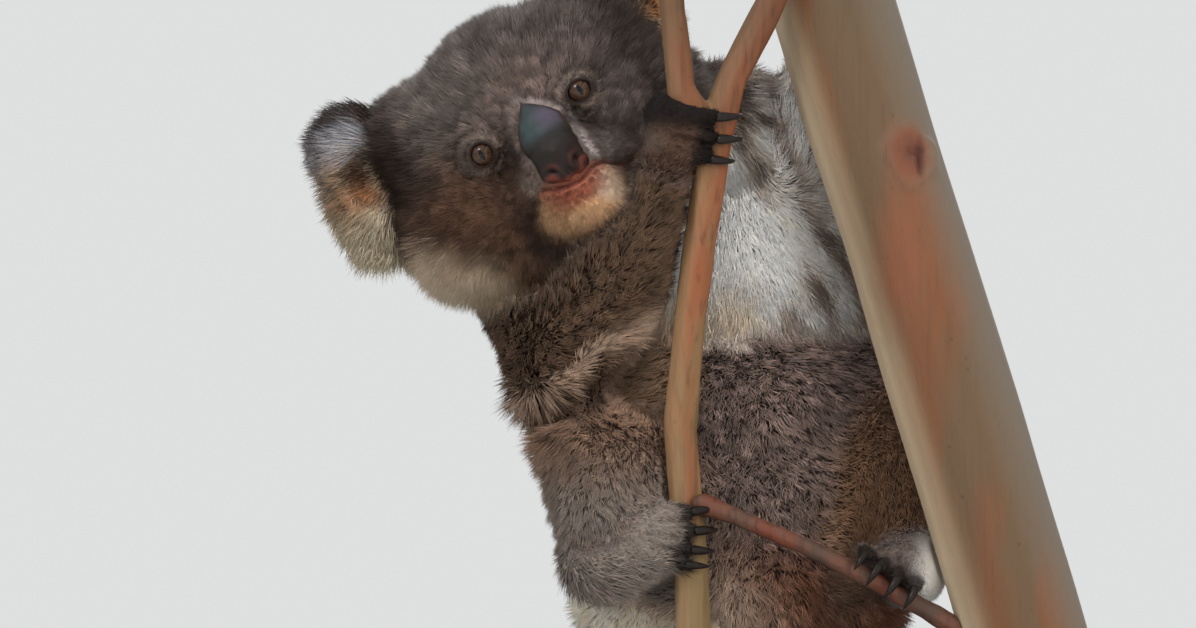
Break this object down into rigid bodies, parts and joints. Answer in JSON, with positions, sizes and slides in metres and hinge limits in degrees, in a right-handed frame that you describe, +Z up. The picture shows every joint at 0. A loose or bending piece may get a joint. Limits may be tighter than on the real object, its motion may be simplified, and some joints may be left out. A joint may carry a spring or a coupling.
{
  "type": "koala",
  "caption": "Life-size koala clinging between a slim forked stem and a leaning tree trunk, head tilted towards the viewer, on a flat display stand.",
  "frame": {"origin": "the middle of the stand base's underside", "axes": "+Z up; the koala faces -Y; +X is towards its left side"},
  "size_m": [0.4605, 0.27, 0.6103],
  "materials": {
    "fur": "matt fur",
    "paw": "short dark fur",
    "ear": "long pale fur",
    "nose": "damp leather",
    "eye": "glossy",
    "claw": "dark horn",
    "trunk_bark": "smooth bark",
    "stem_bark": "smooth bark",
    "enamel": "satin",
    "steel": "brushed"
  },
  "bodies": {
    "root": {"head": "fur", "neck": "fur", "trunk": "fur", "tail": "fur", "arm_right": "fur", "arm_left": "fur", "leg_right": "fur", "leg_left": "fur", "hand_right": "paw", "hand_left": "paw", "foot_right": "paw", "foot_left": "paw", "ear_right": "ear", "ear_left": "ear", "nose": "nose", "eye_right": "eye", "eye_left": "eye", "perch_trunk": "trunk_bark", "perch_stem": "stem_bark", "perch_branch": "stem_bark", "stand_base": "enamel", "stand_rod_stem": "steel", "stand_rod_trunk": "steel", "claw_hand_right_1": "claw", "claw_hand_right_2": "claw", "claw_hand_right_3": "claw", "claw_hand_right_4": "claw", "claw_hand_right_5": "claw", "claw_hand_left_1": "claw", "claw_hand_left_2": "claw", "claw_hand_left_3": "claw", "claw_hand_left_4": "claw", "claw_hand_left_5": "claw", "claw_foot_right_1": "claw", "claw_foot_right_2": "claw", "claw_foot_right_3": "claw", "claw_foot_right_4": "claw", "claw_foot_left_1": "claw", "claw_foot_left_2": "claw", "claw_foot_left_3": "claw", "claw_foot_left_4": "claw"}
  },
  "joints": []
}
